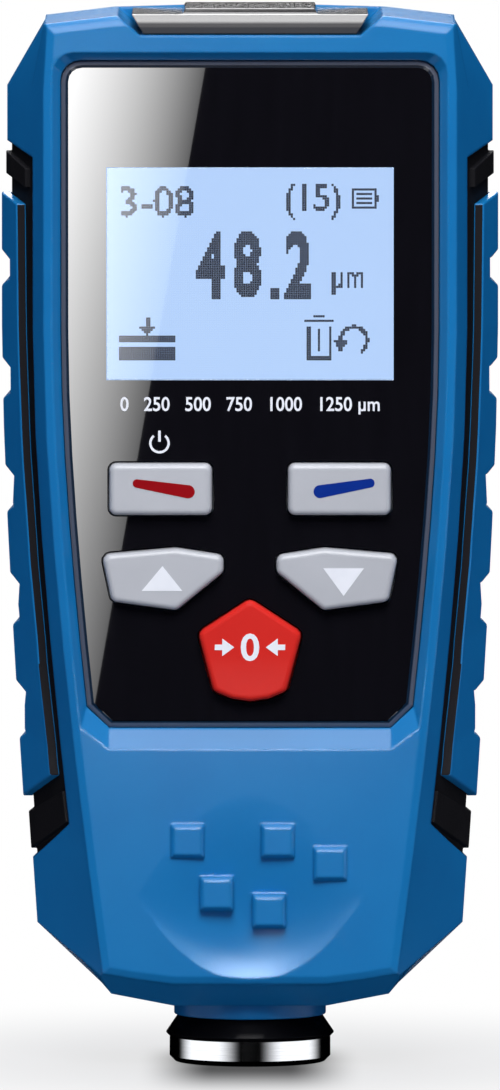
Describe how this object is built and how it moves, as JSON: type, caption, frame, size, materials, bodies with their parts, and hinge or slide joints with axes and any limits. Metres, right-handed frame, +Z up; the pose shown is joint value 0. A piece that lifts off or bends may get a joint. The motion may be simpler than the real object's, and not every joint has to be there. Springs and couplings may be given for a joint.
{
  "type": "coating thickness gauge",
  "caption": "Pocket coating thickness gauge: blue moulded case with grip bars, gloss front panel, display, push keys, battery door and a sprung probe in a chrome foot that it stands on.",
  "frame": {"origin": "middle of the probe's foot, on the surface it stands on", "axes": "+X to the right seen from the front, +Y from the front to the back, +Z up"},
  "size_m": [0.0538, 0.027, 0.1147],
  "materials": {
    "case_plastic": "fine moulded satin",
    "inlay_rubber": "matt soft-touch",
    "cover_rubber": "smooth satin",
    "panel_acrylic": "polished black",
    "lens_acrylic": "clear",
    "display_glass": "lit pale blue",
    "backlight_plastic": "white diffuser",
    "board_laminate": "solder mask",
    "screw_steel": "plated",
    "black_plastic": "moulded satin",
    "key_plastic": "satin",
    "zero_key_plastic": "satin",
    "cell_sleeve": "printed sleeve",
    "socket_steel": "plated",
    "foot_chrome": "polished",
    "tip_steel": "ground",
    "winding_copper": "enamelled wire",
    "lead_rubber": "matt",
    "plug_plastic": "moulded"
  },
  "bodies": {
    "root": {"front_shell": "case_plastic", "rear_shell": "case_plastic", "left_side_inlay": "inlay_rubber", "right_side_inlay": "inlay_rubber", "left_grip_bar": "case_plastic", "right_grip_bar": "case_plastic", "front_panel": "panel_acrylic", "display_lens": "lens_acrylic", "lcd_glass": "display_glass", "lcd_backlight": "backlight_plastic", "main_board": "board_laminate", "board_screws": "screw_steel", "key_switches": "black_plastic", "case_screws": "screw_steel", "left_cell": "cell_sleeve", "right_cell": "cell_sleeve", "battery_plates": "screw_steel", "battery_springs": "screw_steel", "usb_socket": "socket_steel", "probe_holder": "case_plastic", "probe_collar": "black_plastic", "probe_sleeve": "foot_chrome", "probe_spring": "screw_steel", "probe_cap": "black_plastic", "probe_lead": "lead_rubber", "probe_plug": "plug_plastic", "buzzer": "black_plastic"},
    "left_soft_key": {"left_soft_key": "key_plastic"},
    "right_soft_key": {"right_soft_key": "key_plastic"},
    "up_key": {"up_key": "key_plastic"},
    "down_key": {"down_key": "key_plastic"},
    "zero_key": {"zero_key": "zero_key_plastic"},
    "battery_door": {"battery_door": "case_plastic", "door_screw": "screw_steel"},
    "port_cover": {"port_cover": "cover_rubber"},
    "probe_core": {"probe_tip": "tip_steel", "probe_bobbin": "black_plastic", "probe_winding": "winding_copper"}
  },
  "joints": [
    {"name": "left_soft_key_press", "type": "slide", "parent": "root", "child": "left_soft_key", "axis": [0, 1, 0], "range_m": [0, 0.0005], "stiffness_N_per_m": 400, "springref_m": -0.001},
    {"name": "right_soft_key_press", "type": "slide", "parent": "root", "child": "right_soft_key", "axis": [0, 1, 0], "range_m": [0, 0.0005], "stiffness_N_per_m": 400, "springref_m": -0.001},
    {"name": "up_key_press", "type": "slide", "parent": "root", "child": "up_key", "axis": [0, 1, 0], "range_m": [0, 0.0005], "stiffness_N_per_m": 400, "springref_m": -0.001},
    {"name": "down_key_press", "type": "slide", "parent": "root", "child": "down_key", "axis": [0, 1, 0], "range_m": [0, 0.0005], "stiffness_N_per_m": 400, "springref_m": -0.001},
    {"name": "zero_key_press", "type": "slide", "parent": "root", "child": "zero_key", "axis": [0, 1, 0], "range_m": [0, 0.0005], "stiffness_N_per_m": 400, "springref_m": -0.001},
    {"name": "battery_door_swing", "type": "hinge", "parent": "root", "child": "battery_door", "pos_m": [0, 0.0135, 0.094], "axis": [1, 0, 0], "range_deg": [0, 70]},
    {"name": "port_cover_pull", "type": "slide", "parent": "root", "child": "port_cover", "axis": [0, 0, 1], "range_m": [0, 0.006]},
    {"name": "probe_tip_slide", "type": "slide", "parent": "root", "child": "probe_core", "axis": [0, 0, 1], "range_m": [0, 0.001], "stiffness_N_per_m": 300, "springref_m": -0.001, "deforming": ["probe_spring"]}
  ]
}
